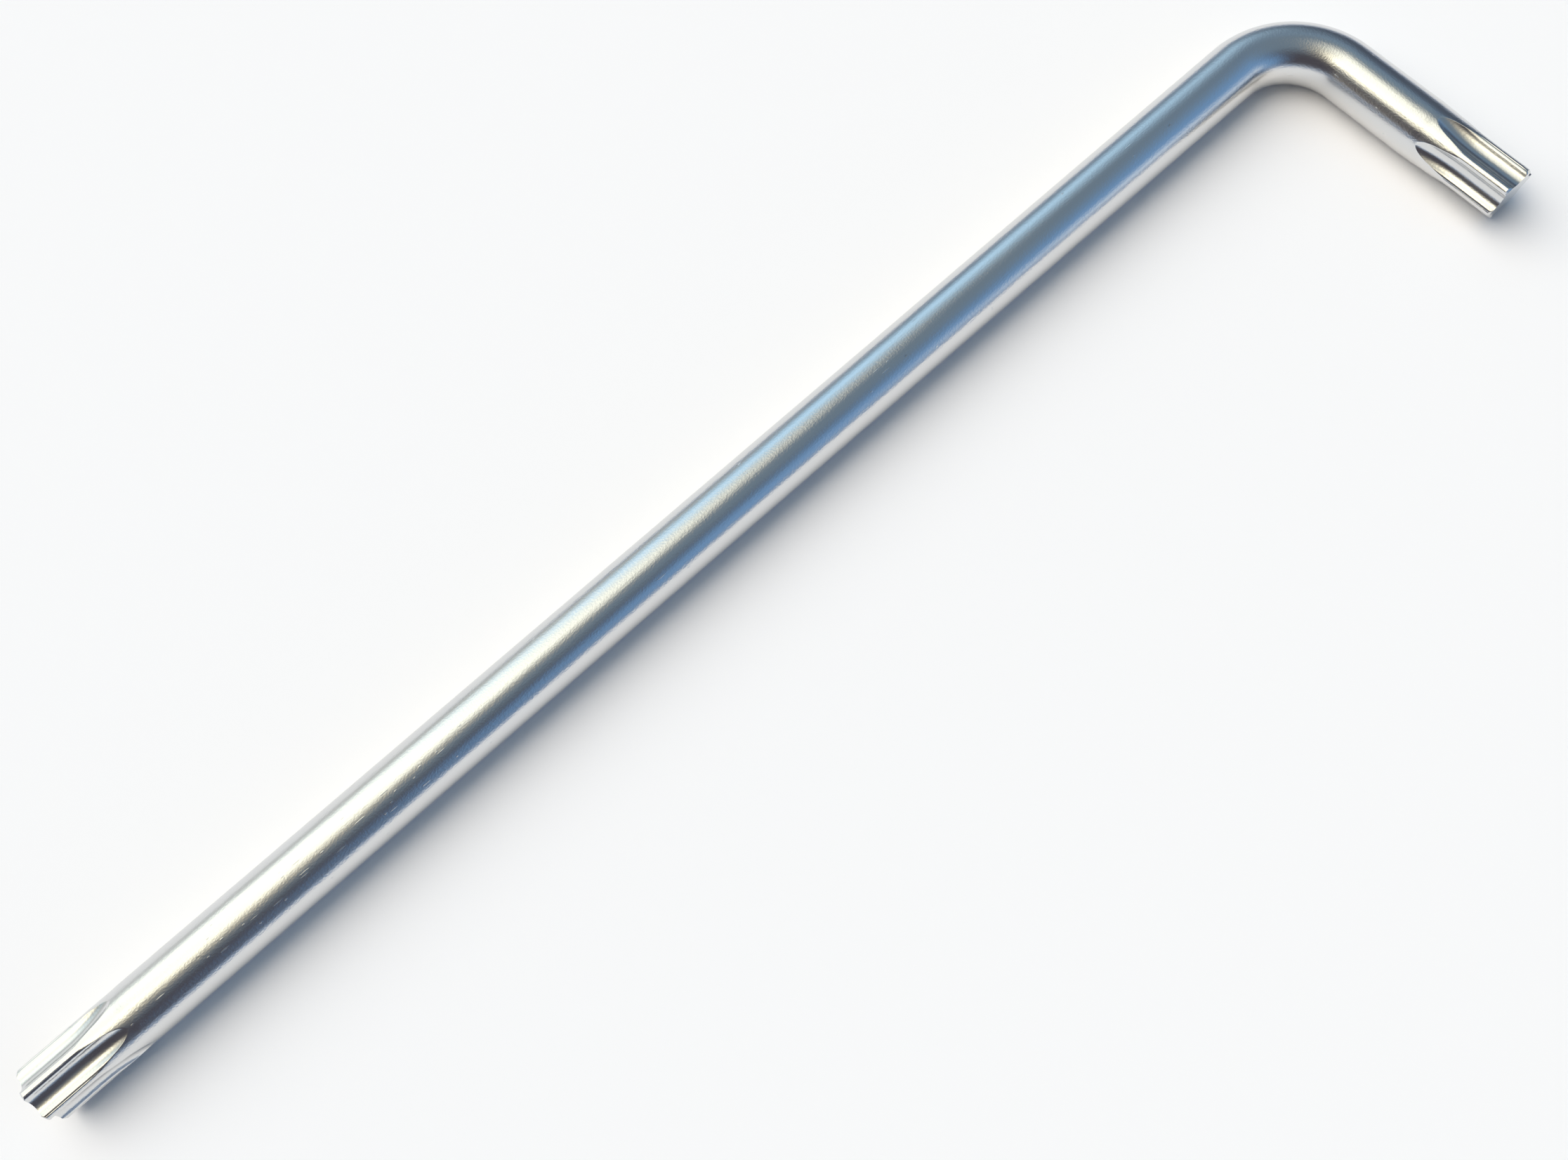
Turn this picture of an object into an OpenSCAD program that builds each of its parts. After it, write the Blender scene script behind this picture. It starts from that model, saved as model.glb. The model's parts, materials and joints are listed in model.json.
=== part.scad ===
// Long-arm star key: one round steel bar, bent once, with a six-lobe star drive cut into each end.
// The key lies flat. X runs along the long arm, the short arm points to -Y, and Z is up from the table.
// The origin is on the table, under the middle of the key's bounding box. Lengths are in millimetres.

/* [Bar] */
// Diameter of the round bar
shank_d = 5.5; // [4.5:0.1:7]
// Long arm, from its end face to the outer side of the short arm
long_arm_reach = 145; // [80:1:240]
// Short arm, from its end face to the outer side of the long arm
short_arm_reach = 28.7; // [24:0.1:60]
// Radius on the inside of the bend
bend_inner_r = 4.6; // [2:0.1:8]

/* [Star drive] */
// Distance across opposite lobes
star_across_lobes = 5.45; // [5:0.05:6]
// Distance across opposite flutes
star_across_flutes = 3.95; // [3.6:0.05:4.3]
// Rounding radius on the shoulders of each lobe
lobe_r = 0.45; // [0.35:0.01:0.55]
// Width of the round surface that is left along each lobe
lobe_land = 0.3; // [0.2:0.01:0.4]
// Length of the star at full depth, from the end face
star_length = 4.15; // [2:0.05:8]
// Radius in which the bottom of a flute rises to the tip's surface
runout_r = 15.8; // [8:0.1:25]
// Bevel around the end face
end_bevel = 0.2; // [0.1:0.05:0.4]
// Length of the taper from the tip, behind its flutes, to the bar
taper_length = 1; // [0.5:0.1:4]

/* [Star positions] */
// Turn of the long arm's star about its arm, from a lobe pointing straight down
long_star_turn = -1; // [-30:1:30]
// Turn of the short arm's star about its arm, from a lobe pointing along X
short_star_turn = -6; // [-30:1:30]

/* [Hidden] */
$fn = 96;

steel = [0.72, 0.74, 0.76];
lobe_count = 6;
lobe_step = 360 / lobe_count;

// Bar and bend
shank_r = shank_d / 2;
bend_r = bend_inner_r + shank_r;
corner_x = long_arm_reach / 2 - shank_r;
corner_y = short_arm_reach / 2 - shank_r;
long_end_x = -long_arm_reach / 2;
short_end_y = -short_arm_reach / 2;
bend_start_x = corner_x - bend_r;
bend_end_y = corner_y - bend_r;

// Star section: the lobe and flute arcs touch on the line that joins their centres
star_r = star_across_lobes / 2;
flute_bottom = star_across_flutes / 2;
land_half_angle = lobe_land / star_across_lobes * 180 / PI;
land_half_width = star_r * sin(land_half_angle);
lobe_centre = star_r * cos(land_half_angle) - sqrt(pow(lobe_r, 2) - pow(land_half_width, 2));
lobe_u = lobe_centre * cos(lobe_step / 2);
lobe_t = lobe_centre * sin(lobe_step / 2);
flute_r = (pow(lobe_r, 2) - pow(lobe_centre, 2) - pow(flute_bottom, 2) + 2 * flute_bottom * lobe_u)
    / (2 * (flute_bottom - lobe_u - lobe_r));
flute_centre = flute_bottom + flute_r;
touch_share = flute_r / (flute_r + lobe_r);
touch_u = flute_centre + (lobe_u - flute_centre) * touch_share;
touch_t = lobe_t * touch_share;

// The lobe arcs are drawn a hair large, so that they cross the flute arc instead of only touching it
arc_overlap = 0.004;
// The cutter reaches this far out of the tip, and its rim stops over the land, clear of the next cutter
cutter_margin = 0.5;
cutter_rim = star_r + cutter_margin;
rim_half_angle = (lobe_step - land_half_angle) / 2;
rim_u = cutter_rim * cos(rim_half_angle);
rim_t = cutter_rim * sin(rim_half_angle);

// Run-out: the cutter turns about a line beside the tip until it has left the tip
runout_axis = flute_bottom + runout_r;
runout_angle = acos((runout_axis - star_r) / runout_r);
runout_extra_angle = 3;
runout_fn = 360;
flute_end = star_length + runout_r * sin(runout_angle);
tip_length = flute_end + taper_length;

// Section of a flute between two lobes. The first coordinate points out of the tip, through the flute.
module flute_profile() {
    intersection() {
        translate([flute_centre, 0]) circle(r = flute_r);
        translate([0, -rim_t]) square([rim_u, 2 * rim_t]);
    }
    difference() {
        polygon([
            [touch_u, -touch_t],
            [lobe_u, -lobe_t],
            [rim_u, -rim_t],
            [rim_u, rim_t],
            [lobe_u, lobe_t],
            [touch_u, touch_t]
        ]);
        for (side = [-1, 1])
            translate([lobe_u, side * lobe_t]) circle(r = lobe_r + arc_overlap);
    }
}

// One flute: straight at full depth from the end face, then rising out of the tip along an arc
module flute_cutter() {
    linear_extrude(height = star_length) flute_profile();
    translate([runout_axis, 0, star_length])
        rotate([90, 0, 180])
        rotate_extrude(angle = runout_angle + runout_extra_angle, $fn = runout_fn)
        translate([runout_axis, 0])
        mirror([1, 0])
        flute_profile();
}

// A star tip with its end face at the origin and its bar running to +Z
module star_tip(turn) {
    difference() {
        union() {
            cylinder(r1 = star_r - end_bevel, r2 = star_r, h = end_bevel);
            translate([0, 0, end_bevel]) cylinder(r = star_r, h = flute_end - end_bevel);
            translate([0, 0, flute_end]) cylinder(r1 = star_r, r2 = shank_r, h = taper_length);
        }
        for (k = [0:lobe_count - 1])
            rotate(turn + (k + 0.5) * lobe_step) flute_cutter();
    }
}

module long_arm() {
    color(steel)
        translate([long_end_x + tip_length, corner_y, shank_r])
        rotate([0, 90, 0])
        cylinder(r = shank_r, h = bend_start_x - long_end_x - tip_length);
}

module bend() {
    color(steel)
        translate([bend_start_x, bend_end_y, shank_r])
        rotate_extrude(angle = 90)
        translate([bend_r, 0])
        circle(r = shank_r);
}

module short_arm() {
    color(steel)
        translate([corner_x, short_end_y + tip_length, shank_r])
        rotate([-90, 0, 0])
        cylinder(r = shank_r, h = bend_end_y - short_end_y - tip_length);
}

module long_arm_star_tip() {
    color(steel)
        translate([long_end_x, corner_y, shank_r])
        rotate([0, 90, 0])
        star_tip(long_star_turn);
}

module short_arm_star_tip() {
    color(steel)
        translate([corner_x, short_end_y, shank_r])
        rotate([-90, 0, 0])
        star_tip(short_star_turn);
}

long_arm();
bend();
short_arm();
long_arm_star_tip();
short_arm_star_tip();
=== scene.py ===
"""Looks of the long-arm star key: five sections of one plated steel bar, lying on a white table.

Lengths are in metres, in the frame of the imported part. X runs along the long arm, the short arm points
to -Y, and Z is up from the table.
"""
import json
import math

import bpy
from mathutils import Matrix, Quaternion, Vector


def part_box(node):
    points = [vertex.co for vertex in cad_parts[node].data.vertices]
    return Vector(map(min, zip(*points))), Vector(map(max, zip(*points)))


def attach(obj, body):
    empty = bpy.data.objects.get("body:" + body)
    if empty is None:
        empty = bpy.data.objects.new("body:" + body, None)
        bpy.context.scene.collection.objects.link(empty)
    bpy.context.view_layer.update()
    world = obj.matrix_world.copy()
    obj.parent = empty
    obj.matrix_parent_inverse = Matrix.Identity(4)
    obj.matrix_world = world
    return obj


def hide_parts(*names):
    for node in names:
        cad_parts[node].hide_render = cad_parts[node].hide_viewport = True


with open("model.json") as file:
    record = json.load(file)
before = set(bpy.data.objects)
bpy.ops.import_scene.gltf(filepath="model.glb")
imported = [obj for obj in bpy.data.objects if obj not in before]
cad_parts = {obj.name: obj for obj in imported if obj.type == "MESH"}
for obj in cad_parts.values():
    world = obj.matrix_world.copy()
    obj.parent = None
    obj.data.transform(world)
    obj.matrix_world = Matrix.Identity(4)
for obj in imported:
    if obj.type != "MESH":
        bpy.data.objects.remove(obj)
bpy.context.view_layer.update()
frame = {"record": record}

MM = 0.001
MICRON = 0.001 * MM

# Places of the bar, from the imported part
mounts = {mount["name"]: mount for mount in frame["record"]["mounts"]}
bar_r = mounts["long_arm_shank"]["dims"]["r_mm"] * MM
corner_x = mounts["short_arm_shank"]["pos_m"][0]
corner_y = mounts["long_arm_shank"]["pos_m"][1]
axis_z = mounts["long_arm_shank"]["pos_m"][2]
long_end_x = mounts["long_arm_end"]["pos_m"][0]
short_end_y = mounts["short_arm_end"]["pos_m"][1]
bend_start_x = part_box("bend")[0].x
bend_end_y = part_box("bend")[0].y
long_arm_start_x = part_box("long_arm")[0].x
short_arm_start_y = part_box("short_arm")[0].y
bend_r = corner_x - bend_start_x
tip_length = long_arm_start_x - long_end_x

# Star drive, the same at both ends
LOBE_COUNT = 6
STAR_R = 5.45 / 2 * MM
FLUTE_BOTTOM = 3.95 / 2 * MM
LOBE_R = 0.45 * MM
LOBE_LAND = 0.3 * MM
STAR_LENGTH = 4.15 * MM
RUNOUT_R = 15.8 * MM
END_BEVEL = 0.2 * MM
LONG_STAR_TURN = math.radians(-1)
SHORT_STAR_TURN = math.radians(-6)
# Softness of the worn edges: crisp where the flutes run out of the bar, rounder on the lobes of the star
RUNOUT_WEAR = 0.012 * MM
LOBE_WEAR = 0.040 * MM
LOBE_WEAR_END = 6.6 * MM
# Depth below the round bar at which a wall counts as cut, and reach of the rub on both sides of an edge
CUT_BLEND = 0.06 * MM
RUB_REACH = 0.02 * MM

# Section of the star: lobe and flute arcs that touch on the line between their centres
half_step = math.pi / LOBE_COUNT
land_half_angle = LOBE_LAND / STAR_R / 2
land_half_width = STAR_R * math.sin(land_half_angle)
lobe_centre = STAR_R * math.cos(land_half_angle) - math.sqrt(LOBE_R**2 - land_half_width**2)
lobe_u = lobe_centre * math.cos(half_step)
lobe_t = lobe_centre * math.sin(half_step)
flute_r = (LOBE_R**2 - lobe_centre**2 - FLUTE_BOTTOM**2 + 2 * FLUTE_BOTTOM * lobe_u) / (
    2 * (FLUTE_BOTTOM - lobe_u - LOBE_R)
)
flute_centre = FLUTE_BOTTOM + flute_r
touch_t = lobe_t * flute_r / (flute_r + LOBE_R)
runout_axis = FLUTE_BOTTOM + RUNOUT_R
flute_end = STAR_LENGTH + math.sqrt(RUNOUT_R**2 - (runout_axis - STAR_R) ** 2)

# Mesh steps, and how strongly a tip's points crowd towards the edges of its flutes
RING_POINTS = 128
BEND_STEPS = 96
FLUTE_POINTS = 16
LAND_POINTS = 8
FLUTE_CROWDING = 1.6
LAND_CROWDING = 2.2
BEVEL_ROWS = 5
STRAIGHT_ROWS = 8
RUNOUT_ROWS = 48
TAPER_ROWS = 12
NARROWEST_FLUTE = math.radians(3)
MERGE_DISTANCE = 0.5 * MICRON
SMOOTH_ANGLE = math.radians(35)
# Halvings of a search, and the radii between which a flute's wall is searched for
SEARCH_STEPS = 40
SEARCH_LOW = FLUTE_BOTTOM / 2
SEARCH_HIGH = STAR_R * 1.2


def flute_profile(t):
    """Distance of the flute's wall from the bar's axis, at a distance t beside the flute's centre line."""
    if t < touch_t:
        return flute_centre - math.sqrt(flute_r**2 - t**2)
    if t < lobe_t:
        return lobe_u + math.sqrt(LOBE_R**2 - (t - lobe_t) ** 2)
    return lobe_u + LOBE_R + t - lobe_t


def bisect(low, high, is_low):
    """The value between low and high at which is_low stops being true."""
    for _ in range(SEARCH_STEPS):
        middle = (low + high) / 2
        if is_low(middle):
            low = middle
        else:
            high = middle
    return (low + high) / 2


def flute_radius(z, d):
    """Radius of a flute's wall at a height z above the end face and an angle d from its centre line."""
    rise = max(0.0, z - STAR_LENGTH)

    def inside_steel(r):
        reach = runout_axis - flute_profile(r * math.sin(d))
        return math.hypot(runout_axis - r * math.cos(d), rise) > reach

    return bisect(SEARCH_LOW, SEARCH_HIGH, inside_steel)


def edge_wear(z):
    """Softness of an edge at a height z above the end face."""
    share = min(1.0, max(0.0, (LOBE_WEAR_END - z) / (LOBE_WEAR_END - STAR_LENGTH)))
    return RUNOUT_WEAR + (LOBE_WEAR - RUNOUT_WEAR) * share


def soft_least(a, b, wear):
    """The smaller of two radii, with the edge between them worn round."""
    return (a + b) / 2 - math.sqrt((a - b) ** 2 / 4 + wear**2)


def blank_radius(z):
    """Radius of a tip before its flutes are cut: a bevel at the end face, the star, a taper to the bar."""
    share = min(1.0, max(0.0, (z - flute_end) / (tip_length - flute_end)))
    round_r = STAR_R + (bar_r - STAR_R) * share * share * (3 - 2 * share)
    return min(round_r, STAR_R - END_BEVEL + z)


def flute_half_angle(z):
    """Angle from the flute's centre line to its edge on the bar, at a height z above the end face."""
    edge = bisect(0.0, half_step, lambda d: flute_radius(z, d) < blank_radius(z))
    return max(edge, NARROWEST_FLUTE)


def runout_height(d):
    """Height at which the edge of the flute has closed to an angle d."""
    reach = runout_axis - flute_profile(STAR_R * math.sin(d))
    return STAR_LENGTH + math.sqrt(reach**2 - (runout_axis - STAR_R * math.cos(d)) ** 2)


def steps(low, high, count):
    """Evenly spaced values after low, up to and including high."""
    return [low + (high - low) * (k + 1) / count for k in range(count)]


def tip_rows():
    """Heights of a tip's rings of points, close together where the flutes run out."""
    rows = [0.0]
    rows += steps(0.0, END_BEVEL, BEVEL_ROWS)
    rows += steps(END_BEVEL, STAR_LENGTH, STRAIGHT_ROWS)
    full_angle = flute_half_angle(STAR_LENGTH)
    rows += [runout_height(d) for d in steps(full_angle, NARROWEST_FLUTE, RUNOUT_ROWS)]
    rows += steps(rows[-1], tip_length, TAPER_ROWS)
    return rows


def star_point(z, turn, edge, spot):
    """Place of one point of a tip's ring, and how far it is cut and rubbed.

    edge is the flute's half angle at this height, and spot counts the ring's points from the centre line
    of a flute.
    """
    per_half = FLUTE_POINTS + LAND_POINTS
    sector, place = divmod(spot, 2 * per_half)
    side = 1 if place <= per_half else -1
    place = min(place, 2 * per_half - place)
    if place <= FLUTE_POINTS:
        d = edge * (1 - (1 - place / FLUTE_POINTS) ** FLUTE_CROWDING)
    else:
        d = edge + (half_step - edge) * ((place - FLUTE_POINTS) / LAND_POINTS) ** LAND_CROWDING
    if side < 0:
        sector += 1
    blank, wall = blank_radius(z), flute_radius(z, d)
    r = soft_least(blank, wall, edge_wear(z))
    angle = turn + half_step + 2 * half_step * sector + side * d
    cut = min(1.0, max(0.0, (blank - wall) / CUT_BLEND))
    rub = math.exp(-(((blank - wall) / RUB_REACH) ** 2))
    return Vector((r * math.cos(angle), r * math.sin(angle), z)), cut, rub


def deselect():
    bpy.ops.object.select_all(action="DESELECT")


def make_tip(name, turn, place):
    """A star tip: rings drawn out along the bar, then pulled in to the flutes' walls."""
    count = 2 * LOBE_COUNT * (FLUTE_POINTS + LAND_POINTS)
    rows = tip_rows()
    deselect()
    bpy.ops.mesh.primitive_circle_add(vertices=count, radius=STAR_R, fill_type="NOTHING")
    piece = bpy.context.object
    bpy.ops.object.mode_set(mode="EDIT")
    for low, high in zip(rows, rows[1:]):
        bpy.ops.mesh.extrude_region_move(TRANSFORM_OT_translate={"value": (0, 0, high - low)})
    bpy.ops.mesh.edge_face_add()
    bpy.ops.object.mode_set(mode="OBJECT")
    edges = [flute_half_angle(z) for z in rows]
    cut_layer = piece.data.attributes.new("flute_cut", "FLOAT", "POINT")
    rub_layer = piece.data.attributes.new("edge_rub", "FLOAT", "POINT")
    for vertex in piece.data.vertices:
        row = min(range(len(rows)), key=lambda k: abs(rows[k] - vertex.co.z))
        spot = round(math.atan2(vertex.co.y, vertex.co.x) / (2 * math.pi) * count) % count
        vertex.co, cut, rub = star_point(rows[row], turn, edges[row], spot)
        cut_layer.data[vertex.index].value = cut
        rub_layer.data[vertex.index].value = rub
    close_end_face(piece)
    return finish_piece(piece, name, place)


def close_end_face(piece):
    """Closes the open ring of a tip with its flat end face."""
    bpy.ops.object.mode_set(mode="EDIT")
    bpy.ops.mesh.select_all(action="DESELECT")
    bpy.ops.object.mode_set(mode="OBJECT")
    for vertex in piece.data.vertices:
        vertex.select = abs(vertex.co.z) < MICRON
    bpy.ops.object.mode_set(mode="EDIT")
    bpy.ops.mesh.select_mode(type="VERT")
    bpy.ops.mesh.edge_face_add()
    bpy.ops.object.mode_set(mode="OBJECT")


def make_arm(name, length, place):
    """A straight round section of the bar, closed at both ends."""
    deselect()
    bpy.ops.mesh.primitive_circle_add(vertices=RING_POINTS, radius=bar_r, fill_type="NGON")
    piece = bpy.context.object
    bpy.ops.object.mode_set(mode="EDIT")
    bpy.ops.mesh.extrude_region_move(TRANSFORM_OT_translate={"value": (0, 0, length)})
    bpy.ops.object.mode_set(mode="OBJECT")
    return finish_piece(piece, name, place)


def make_bend(name):
    """The quarter turn of the bar, spun about the centre of the bend."""
    deselect()
    start = (bend_start_x, corner_y, axis_z)
    facing = (0, math.pi / 2, 0)
    bpy.ops.mesh.primitive_circle_add(
        vertices=RING_POINTS, radius=bar_r, fill_type="NGON", location=start, rotation=facing
    )
    piece = bpy.context.object
    bpy.ops.object.transform_apply(location=True, rotation=True, scale=True)
    bpy.ops.object.mode_set(mode="EDIT")
    bpy.ops.mesh.select_all(action="SELECT")
    bpy.ops.mesh.spin(
        steps=BEND_STEPS,
        angle=math.pi / 2,
        center=(bend_start_x, bend_end_y, axis_z),
        axis=(0, 0, 1),
    )
    bpy.ops.object.mode_set(mode="OBJECT")
    return finish_piece(piece, name, Matrix.Identity(4))


def finish_piece(piece, name, place):
    """Puts a piece in its place, closes and shades its mesh, and fastens it to the part."""
    piece.name = name
    piece.data.name = name
    piece.matrix_world = place
    bpy.ops.object.transform_apply(location=True, rotation=True, scale=True)
    bpy.ops.object.mode_set(mode="EDIT")
    bpy.ops.mesh.select_all(action="SELECT")
    bpy.ops.mesh.remove_doubles(threshold=MERGE_DISTANCE)
    bpy.ops.mesh.normals_make_consistent(inside=False)
    bpy.ops.object.mode_set(mode="OBJECT")
    bpy.ops.object.shade_smooth_by_angle(angle=SMOOTH_ANGLE)
    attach(piece, "root")
    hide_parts(name.replace("_finish", ""))
    return piece


def standing(axis, angle, x, y):
    """Matrix that turns a piece drawn along Z into the bar's direction, with its end at (x, y)."""
    return Matrix.Translation((x, y, axis_z)) @ Matrix.Rotation(math.radians(angle), 4, axis)


long_arm = make_arm(
    "long_arm_finish",
    bend_start_x - long_arm_start_x,
    standing("Y", 90, long_arm_start_x, corner_y),
)
short_arm = make_arm(
    "short_arm_finish",
    bend_end_y - short_arm_start_y,
    standing("X", -90, corner_x, short_arm_start_y),
)
bend = make_bend("bend_finish")
long_tip = make_tip(
    "long_arm_star_tip_finish",
    LONG_STAR_TURN,
    standing("Y", 90, long_end_x, corner_y),
)
short_tip = make_tip(
    "short_arm_star_tip_finish",
    SHORT_STAR_TURN,
    standing("X", -90, corner_x, short_end_y),
)
pieces = [long_arm, bend, short_arm, long_tip, short_tip]

# Colours of the plating
STEEL_COOL = (0.69, 0.705, 0.72, 1)
STEEL_WARM = (0.72, 0.715, 0.70, 1)
STEEL_RUBBED = (0.80, 0.80, 0.79, 1)
STEEL_PIT = (0.54, 0.53, 0.52, 1)
# Roughness of the plating, what haze and drawing lines add to it, and that of rubbed edges and marks
PLATING_ROUGHNESS = 0.10
HAZE_ROUGHNESS = 0.08
LINES_ROUGHNESS = 0.06
RUBBED_ROUGHNESS = 0.12
MARK_ROUGHNESS = 0.30
# Patterns all over the bar: grains per millimetre along the straightened bar, beside its axis and above it,
# the noise's detail, and heights in micrometres
GRAIN_SCALE = (5.0, 6.3, 6.3)
LINES_SCALE = (0.12, 4.0, 4.0)
WAVES_SCALE = (0.35, 0.8, 0.8)
HAZE_SCALE = (0.09, 0.22, 0.22)
FINE_DETAIL = 3.0
PLAIN_DETAIL = 1.0
NOISE_ROUGHNESS = 0.55
GRAIN_HEIGHT = 13.0
FLUTE_GRAIN_HEIGHT = 8.0
LINES_HEIGHT = 4.0
WAVES_HEIGHT = 10.0
# Scattered marks on the round bar: cells per millimetre, shift of the pattern, size in cells, share of the
# cells that hold a mark, that share in scuffed places, and height in micrometres
MARKS = {
    "specks": ((1.1, 3.2, 3.2), (0.0, 0.0, 0.0), 0.22, 0.02, 0.28, 8.0),
    "dashes": ((0.35, 3.4, 3.4), (4.0, 7.0, 2.0), 0.22, 0.03, 0.35, 7.0),
    "pits": ((0.7, 1.3, 1.3), (9.0, 3.0, 5.0), 0.14, 0.04, 0.04, -5.0),
}
# Share of a mark's size, and of a scuff's reach, at which it is full
MARK_CORE = 0.45
SCUFF_CORE = 0.3
# Scuffed places: along the straightened bar from the bend, beside its axis and above it, and reach round
# the bar, in millimetres, and how far the scuff is drawn out along the bar
SCUFFS = {
    "middle": ((-45.0, -0.9, 2.6), 2.0, 2.0),
    "near_long_tip": ((-110.0, -1.1, 2.5), 2.4, 11.0),
    "short_tip_lobe": ((28.3, 1.1, 2.45), 0.6, 4.0),
}


def straightened(point):
    """A point of the bar before bending: along it, beside its axis and above it, in millimetres."""
    if point.x <= bend_start_x:
        along = point.x - bend_start_x
        beside = point.y - corner_y
    elif point.y <= bend_end_y:
        along = bend_r * math.pi / 2 + bend_end_y - point.y
        beside = point.x - corner_x
    else:
        out = Vector((point.x - bend_start_x, point.y - bend_end_y))
        along = bend_r * math.atan2(out.x, out.y)
        beside = out.length - bend_r
    return Vector((along, beside, point.z - axis_z)) / MM


def lay_out_grain(piece):
    """Gives a piece the straightened bar's coordinates, so that its grain runs on round the bend."""
    layer = piece.data.attributes.new("bar_run", "FLOAT_VECTOR", "POINT")
    for vertex in piece.data.vertices:
        layer.data[vertex.index].vector = straightened(vertex.co)


def add_node(tree, kind, inputs, **settings):
    """Adds a node with its settings, and gives each named input a value or a link."""
    node = tree.nodes.new(kind)
    for name, value in settings.items():
        setattr(node, name, value)
    for name, value in inputs.items():
        if isinstance(value, bpy.types.NodeSocket):
            tree.links.new(value, node.inputs[name])
        else:
            node.inputs[name].default_value = value
    return node


def calc(tree, operation, first, second=0.0):
    """A Math node of one or two values."""
    return add_node(tree, "ShaderNodeMath", {0: first, 1: second}, operation=operation).outputs[0]


def fade(tree, value, low, high):
    """A soft step that is 0 at low and 1 at high."""
    inputs = {"Value": value, "From Min": low, "From Max": high}
    return add_node(tree, "ShaderNodeMapRange", inputs, interpolation_type="SMOOTHSTEP").outputs["Result"]


def mixed(tree, mask, first, second):
    """The first value where the mask is 0 and the second where it is 1."""
    return add_node(tree, "ShaderNodeMix", {0: mask, 2: first, 3: second}).outputs[0]


def tinted(tree, mask, first, second):
    """The first colour where the mask is 0 and the second where it is 1."""
    return add_node(tree, "ShaderNodeMix", {0: mask, 6: first, 7: second}, data_type="RGBA").outputs[2]


def own_layer(tree, name):
    """The node that reads one of the pieces' own attributes."""
    return add_node(tree, "ShaderNodeAttribute", {}, attribute_name=name)


def scaled(tree, vector, scale, shift=(0.0, 0.0, 0.0)):
    """A place on the bar, stretched along the bar or round it, and shifted to another part of a pattern."""
    inputs = {"Vector": vector, "Scale": scale, "Location": shift}
    return add_node(tree, "ShaderNodeMapping", inputs).outputs["Vector"]


def noise(tree, vector, detail):
    """Even noise about 0.5, one grain for each unit of the vector."""
    inputs = {"Vector": vector, "Scale": 1.0, "Detail": detail, "Roughness": NOISE_ROUGHNESS}
    return add_node(tree, "ShaderNodeTexNoise", inputs).outputs["Fac"]


def spots(tree, vector, size, share):
    """A share of scattered spots, each of a size in units of the vector, as a soft mask."""
    cells = add_node(tree, "ShaderNodeTexVoronoi", {"Vector": vector, "Scale": 1.0})
    near = fade(tree, cells.outputs["Distance"], size, size * MARK_CORE)
    lot = add_node(tree, "ShaderNodeSeparateColor", {"Color": cells.outputs["Color"]}).outputs["Red"]
    return calc(tree, "MULTIPLY", near, calc(tree, "LESS_THAN", lot, share))


def scuffed(tree, run):
    """Mask of the scuffed places of the bar."""
    mask = 0.0
    for place, reach, stretch in SCUFFS.values():
        offset = add_node(tree, "ShaderNodeVectorMath", {0: run, 1: place}, operation="SUBTRACT")
        offset = scaled(tree, offset.outputs["Vector"], (1 / stretch, 1.0, 1.0))
        gap = add_node(tree, "ShaderNodeVectorMath", {0: offset}, operation="LENGTH").outputs["Value"]
        mask = calc(tree, "MAXIMUM", mask, fade(tree, gap, reach, reach * SCUFF_CORE))
    return mask


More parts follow.
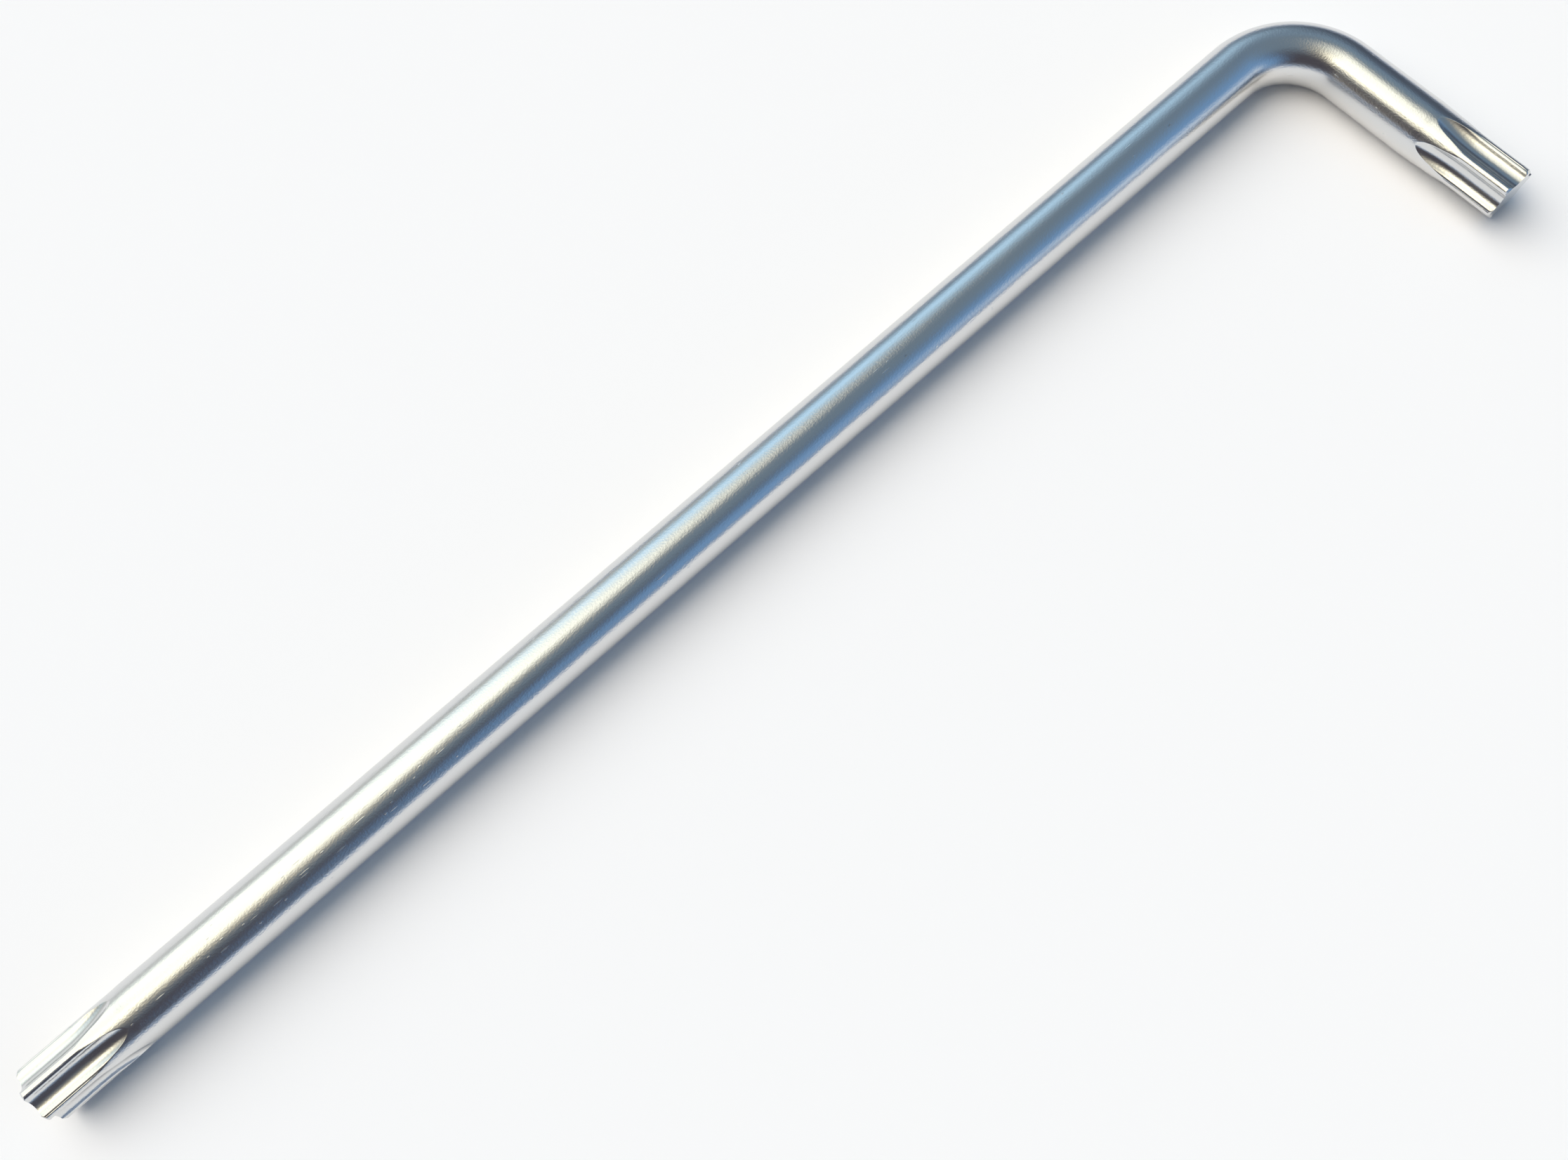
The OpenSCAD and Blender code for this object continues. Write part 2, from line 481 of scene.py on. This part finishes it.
def plated_steel():
    """Bright satin plating: blasted grain, drawing lines, specks, dashes and pits, and rubbed edges."""
    material = bpy.data.materials.new("plated_steel")
    material.use_nodes = True
    tree = material.node_tree
    run = own_layer(tree, "bar_run").outputs["Vector"]
    cut = own_layer(tree, "flute_cut").outputs["Fac"]
    rub = own_layer(tree, "edge_rub").outputs["Fac"]
    grain = noise(tree, scaled(tree, run, GRAIN_SCALE), FINE_DETAIL)
    lines = noise(tree, scaled(tree, run, LINES_SCALE), FINE_DETAIL)
    waves = noise(tree, scaled(tree, run, WAVES_SCALE), PLAIN_DETAIL)
    haze = noise(tree, scaled(tree, run, HAZE_SCALE), FINE_DETAIL)
    scuffs = scuffed(tree, run)

    # Heights, with finer grain and no marks in the cut flutes
    height = calc(tree, "MULTIPLY", grain, mixed(tree, cut, GRAIN_HEIGHT, FLUTE_GRAIN_HEIGHT))
    height = calc(tree, "ADD", height, calc(tree, "MULTIPLY", lines, LINES_HEIGHT))
    height = calc(tree, "ADD", height, calc(tree, "MULTIPLY", waves, WAVES_HEIGHT))
    masks = {}
    marks = 0.0
    for name, (scale, shift, size, share, scuffed_share, mark_height) in MARKS.items():
        mark_share = mixed(tree, cut, mixed(tree, scuffs, share, scuffed_share), 0.0)
        masks[name] = spots(tree, scaled(tree, run, scale, shift), size, mark_share)
        marks = calc(tree, "MAXIMUM", marks, masks[name])
        height = calc(tree, "ADD", height, calc(tree, "MULTIPLY", masks[name], mark_height))
    bump = add_node(tree, "ShaderNodeBump", {"Height": height, "Strength": 1.0, "Distance": MICRON})

    # Gloss: satin with a faint haze and drawing lines, glossier along rubbed edges, duller on marks
    haze_part = calc(tree, "MULTIPLY", haze, HAZE_ROUGHNESS)
    gloss = calc(tree, "ADD", haze_part, calc(tree, "MULTIPLY", lines, LINES_ROUGHNESS))
    gloss = calc(tree, "ADD", gloss, PLATING_ROUGHNESS)
    gloss = mixed(tree, rub, gloss, RUBBED_ROUGHNESS)
    gloss = mixed(tree, marks, gloss, MARK_ROUGHNESS)

    # Colour: nearly neutral, a little warmer in places, paler on rubbed edges and darker in pits
    tint = tinted(tree, haze, STEEL_COOL, STEEL_WARM)
    tint = tinted(tree, rub, tint, STEEL_RUBBED)
    tint = tinted(tree, masks["pits"], tint, STEEL_PIT)

    shader = tree.nodes["Principled BSDF"]
    shader.inputs["Metallic"].default_value = 1.0
    tree.links.new(tint, shader.inputs["Base Color"])
    tree.links.new(gloss, shader.inputs["Roughness"])
    tree.links.new(bump.outputs["Normal"], shader.inputs["Normal"])
    return material


steel = plated_steel()
for piece in pieces:
    lay_out_grain(piece)
    piece.data.materials.clear()
    piece.data.materials.append(steel)

# Table
TABLE_SIZE = 20
TABLE_WHITE = (0.95, 0.95, 0.95, 1)
TABLE_ROUGHNESS = 0.9


def white_table():
    """A wide matt white table under the key."""
    deselect()
    bpy.ops.mesh.primitive_plane_add(size=TABLE_SIZE)
    table = bpy.context.object
    table.name = "table"
    white = bpy.data.materials.new("white_table")
    white.use_nodes = True
    shader = white.node_tree.nodes["Principled BSDF"]
    shader.inputs["Base Color"].default_value = TABLE_WHITE
    shader.inputs["Roughness"].default_value = TABLE_ROUGHNESS
    shader.inputs["Specular IOR Level"].default_value = 0.0
    table.data.materials.append(white)


white_table()

# Studio light, as cards round the key: the angles named here in degrees, then the light's colour and level.
# Azimuth runs from +Y towards +X. A later card lies in front of an earlier one.
CARD_ANGLES = ("Azimuth", "Elevation", "Half Width", "Half Height", "Edge")
ROOM_LIGHT = (0.51, 0.46, 0.36)
CARDS = {
    "blue_room": (130, 45, 75, 42, 14, (0.185, 0.25, 0.315), 1.0),
    "dark_corner": (-135, 26, 62, 31, 20, (0.08, 0.075, 0.09), 1.0),
    "blue_wall": (116, 23, 68, 24, 18, (0.195, 0.365, 0.62), 1.0),
    "pale_gap": (149, 2, 6, 14, 14, (1.0, 1.03, 1.03), 1.35),
    "dark_side": (56, 23, 43, 26, 10, (0.085, 0.105, 0.145), 1.0),
    "sky": (0, 40, 40, 15, 24, (0.75, 1.10, 1.38), 1.0),
    "window_left": (-72, 59, 11, 13, 10, (1.0, 0.93, 0.72), 2.4),
    "window": (-22, 54, 15, 31, 14, (1.0, 1.0, 0.87), 1.72),
    "horizon": (0, 0, 180, 8, 2, (0.34, 0.41, 0.52), 1.0),
    "bright_horizon": (-38, 0, 36, 8, 6, (1.0, 1.0, 1.0), 0.82),
    "blue_haze": (184, 0, 34, 8, 6, (0.27, 0.37, 0.53), 1.0),
}


def card_group():
    """Node group for a soft-edged card of light in the studio, as a mask over directions."""
    group = bpy.data.node_groups.new("light_card", "ShaderNodeTree")
    group.interface.new_socket("Direction", in_out="INPUT", socket_type="NodeSocketVector")
    for name in CARD_ANGLES:
        group.interface.new_socket(name, in_out="INPUT", socket_type="NodeSocketFloat")
    group.interface.new_socket("Mask", in_out="OUTPUT", socket_type="NodeSocketFloat")
    given = group.nodes.new("NodeGroupInput").outputs
    inputs = {"Vector": given["Direction"], "Angle": given["Azimuth"]}
    turned = add_node(group, "ShaderNodeVectorRotate", inputs, rotation_type="Z_AXIS")
    inputs = {"Vector": turned.outputs["Vector"], "Angle": given["Elevation"]}
    tilted = add_node(group, "ShaderNodeVectorRotate", inputs, rotation_type="X_AXIS", invert=True)
    facing = add_node(group, "ShaderNodeSeparateXYZ", {"Vector": tilted.outputs["Vector"]}).outputs
    across = calc(group, "ABSOLUTE", calc(group, "ARCTAN2", facing["X"], facing["Y"]))
    up = calc(group, "ABSOLUTE", calc(group, "ARCSINE", facing["Z"]))
    masks = []
    for angle, half in ((across, given["Half Width"]), (up, given["Half Height"])):
        outer = calc(group, "ADD", half, given["Edge"])
        inner = calc(group, "SUBTRACT", half, given["Edge"])
        masks.append(fade(group, angle, outer, inner))
    add_node(group, "NodeGroupOutput", {"Mask": calc(group, "MULTIPLY", *masks)})
    return group


def studio_world():
    """The room's even light, with the cards laid over it one by one."""
    world = bpy.data.worlds.new("studio")
    world.use_nodes = True
    bpy.context.scene.world = world
    tree = world.node_tree
    group = card_group()
    direction = tree.nodes.new("ShaderNodeTexCoord").outputs["Generated"]
    light = (*ROOM_LIGHT, 1)
    for name, (*angles, colour, level) in CARDS.items():
        inputs = {"Direction": direction}
        inputs.update(zip(CARD_ANGLES, map(math.radians, angles)))
        card = add_node(tree, "ShaderNodeGroup", inputs, node_tree=group, name=name)
        card_light = (*(level * part for part in colour), 1)
        light = tinted(tree, card.outputs["Mask"], light, card_light)
    tree.links.new(light, tree.nodes["Background"].inputs["Color"])


studio_world()

# Soft light for the table from the window's side, which the bar doesn't mirror
TABLE_LIGHT = (1.0, 0.91, 0.89)
TABLE_LIGHT_LEVEL = 1.8
TABLE_LIGHT_AZIMUTH = math.radians(-25)
TABLE_LIGHT_TILT = math.radians(36)
TABLE_LIGHT_SPREAD = math.radians(70)

table_lamp_data = bpy.data.lights.new("table_lamp", "SUN")
table_lamp_data.color = TABLE_LIGHT
table_lamp_data.energy = TABLE_LIGHT_LEVEL
table_lamp_data.angle = TABLE_LIGHT_SPREAD
table_lamp = bpy.data.objects.new("table_lamp", table_lamp_data)
table_lamp.rotation_euler = (-TABLE_LIGHT_TILT, 0, -TABLE_LIGHT_AZIMUTH)
table_lamp.visible_glossy = False
bpy.context.scene.collection.objects.link(table_lamp)

# Camera
VIEW_TARGET = Vector((-0.923, 4.036, 0.0)) * MM
VIEW_DISTANCE = 117.85 * MM
VIEW_AZIMUTH = math.radians(-27.88)
VIEW_ELEVATION = math.radians(71.58)
VIEW_ROLL = math.radians(-14.60)
LENS = 31.146
SENSOR_WIDTH = 36.0
NEAREST_SEEN = 5 * MM

back = Vector(
    (
        math.sin(VIEW_AZIMUTH) * math.cos(VIEW_ELEVATION),
        -math.cos(VIEW_AZIMUTH) * math.cos(VIEW_ELEVATION),
        math.sin(VIEW_ELEVATION),
    )
)
camera_data = bpy.data.cameras.new("camera")
camera_data.lens = LENS
camera_data.sensor_width = SENSOR_WIDTH
camera_data.clip_start = NEAREST_SEEN
camera = bpy.data.objects.new("camera", camera_data)
camera.location = VIEW_TARGET + back * VIEW_DISTANCE
camera.rotation_mode = "QUATERNION"
camera.rotation_quaternion = (-back).to_track_quat("-Z", "Y") @ Quaternion((0, 0, 1), VIEW_ROLL)
bpy.context.scene.collection.objects.link(camera)
bpy.context.scene.camera = camera
bpy.context.scene.view_settings.view_transform = "Standard"
